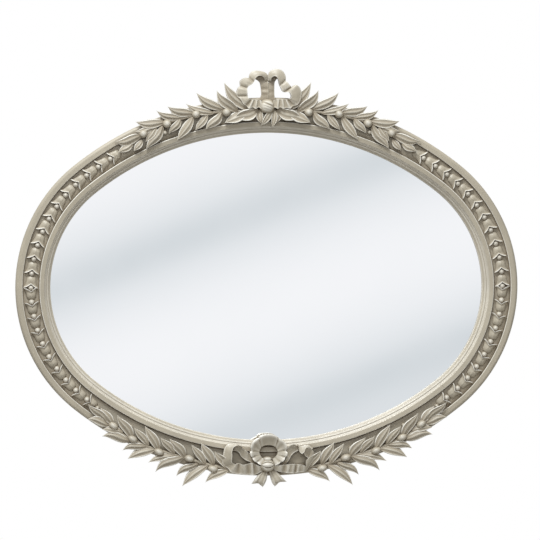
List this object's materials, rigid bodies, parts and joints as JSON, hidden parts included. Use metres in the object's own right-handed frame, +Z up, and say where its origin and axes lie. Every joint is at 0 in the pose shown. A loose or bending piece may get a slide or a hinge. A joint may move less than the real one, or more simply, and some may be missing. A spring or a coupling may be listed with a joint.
{
  "type": "wall mirror",
  "caption": "Oval wall mirror in a carved, painted frame with husk strips, laurel sprays and ribbon bows, hung on two strap hangers.",
  "frame": {"origin": "on the wall plane behind the centre of the oval", "axes": "+X to the right as seen from the room, +Y towards the wall, +Z up"},
  "size_m": [1, 0.053, 0.8309],
  "materials": {
    "painted_timber": "antique champagne paint, rubbed at the edges and darker in the recesses",
    "painted_casting": "antique champagne paint on cast composition ornament",
    "birch_ply": "bare plywood",
    "silvered_glass": "silvered plate glass",
    "packing_felt": "grey felt",
    "hardboard": "tempered hardboard",
    "zinc_steel": "zinc plated",
    "bright_wire": "nickel plated wire",
    "screw_steel": "yellow zinc plated",
    "rubber": "matt black"
  },
  "bodies": {
    "mirror": {"backboard": "hardboard", "bottom_bow_centre_loop": "painted_casting", "bottom_bow_knot": "painted_casting", "bottom_bow_loop_left": "painted_casting", "bottom_bow_loop_right": "painted_casting", "bottom_bow_tail_left": "painted_casting", "bottom_bow_tail_right": "painted_casting", "bottom_laurel_left": "painted_casting", "bottom_laurel_right": "painted_casting", "frame_bottom": "painted_timber", "frame_left": "painted_timber", "frame_right": "painted_timber", "frame_top": "painted_timber", "hanger_screws_left": "screw_steel", "hanger_screws_right": "screw_steel", "hanger_strap_left": "zinc_steel", "hanger_strap_right": "zinc_steel", "husk_strip_lower_left": "painted_casting", "husk_strip_lower_right": "painted_casting", "husk_strip_upper_left": "painted_casting", "husk_strip_upper_right": "painted_casting", "mirror_glass": "silvered_glass", "packing_sheet": "packing_felt", "side_bead_left": "painted_casting", "side_bead_right": "painted_casting", "tongue_lower_left": "birch_ply", "tongue_lower_right": "birch_ply", "tongue_upper_left": "birch_ply", "tongue_upper_right": "birch_ply", "top_bow_knot": "painted_casting", "top_bow_loop_left": "painted_casting", "top_bow_loop_right": "painted_casting", "top_bow_petals": "painted_casting", "top_laurel_left": "painted_casting", "top_laurel_right": "painted_casting", "turn_button_screw_bottom_1": "screw_steel", "turn_button_screw_bottom_2": "screw_steel", "turn_button_screw_left_1": "screw_steel", "turn_button_screw_left_2": "screw_steel", "turn_button_screw_right_1": "screw_steel", "turn_button_screw_right_2": "screw_steel", "turn_button_screw_top_1": "screw_steel", "turn_button_screw_top_2": "screw_steel", "wall_bumper_lower_left": "rubber", "wall_bumper_lower_right": "rubber", "wall_bumper_upper_left": "rubber", "wall_bumper_upper_right": "rubber"},
    "turn_button_right_1": {"turn_button_right_1": "zinc_steel"},
    "turn_button_right_2": {"turn_button_right_2": "zinc_steel"},
    "turn_button_top_1": {"turn_button_top_1": "zinc_steel"},
    "turn_button_top_2": {"turn_button_top_2": "zinc_steel"},
    "turn_button_left_1": {"turn_button_left_1": "zinc_steel"},
    "turn_button_left_2": {"turn_button_left_2": "zinc_steel"},
    "turn_button_bottom_1": {"turn_button_bottom_1": "zinc_steel"},
    "turn_button_bottom_2": {"turn_button_bottom_2": "zinc_steel"},
    "hanger_ring_right": {"hanger_ring_right": "bright_wire"},
    "hanger_ring_left": {"hanger_ring_left": "bright_wire"}
  },
  "joints": [
    {"name": "turn_button_right_1_pivot", "type": "hinge", "parent": "mirror", "child": "turn_button_right_1", "pos_m": [0.4203, -0.00417, 0.11131], "axis": [0, 1, 0], "range_deg": [-90, 90]},
    {"name": "turn_button_right_2_pivot", "type": "hinge", "parent": "mirror", "child": "turn_button_right_2", "pos_m": [0.4203, -0.00417, -0.11131], "axis": [0, 1, 0], "range_deg": [-90, 90]},
    {"name": "turn_button_top_1_pivot", "type": "hinge", "parent": "mirror", "child": "turn_button_top_1", "pos_m": [0.16445, -0.00417, 0.29642], "axis": [0, 1, 0], "range_deg": [-90, 90]},
    {"name": "turn_button_top_2_pivot", "type": "hinge", "parent": "mirror", "child": "turn_button_top_2", "pos_m": [-0.16445, -0.00417, 0.29642], "axis": [0, 1, 0], "range_deg": [-90, 90]},
    {"name": "turn_button_left_1_pivot", "type": "hinge", "parent": "mirror", "child": "turn_button_left_1", "pos_m": [-0.4203, -0.00417, 0.11131], "axis": [0, 1, 0], "range_deg": [-90, 90]},
    {"name": "turn_button_left_2_pivot", "type": "hinge", "parent": "mirror", "child": "turn_button_left_2", "pos_m": [-0.4203, -0.00417, -0.11131], "axis": [0, 1, 0], "range_deg": [-90, 90]},
    {"name": "turn_button_bottom_1_pivot", "type": "hinge", "parent": "mirror", "child": "turn_button_bottom_1", "pos_m": [0.16445, -0.00417, -0.29642], "axis": [0, 1, 0], "range_deg": [-90, 90]},
    {"name": "turn_button_bottom_2_pivot", "type": "hinge", "parent": "mirror", "child": "turn_button_bottom_2", "pos_m": [-0.16445, -0.00417, -0.29642], "axis": [0, 1, 0], "range_deg": [-90, 90]},
    {"name": "hanger_ring_right_hinge", "type": "hinge", "parent": "mirror", "child": "hanger_ring_right", "pos_m": [0.29324, -0.00282, 0.26643], "axis": [-1, 0, 0], "range_deg": [0, 165]},
    {"name": "hanger_ring_left_hinge", "type": "hinge", "parent": "mirror", "child": "hanger_ring_left", "pos_m": [-0.29324, -0.00282, 0.26643], "axis": [-1, 0, 0], "range_deg": [0, 165]}
  ]
}
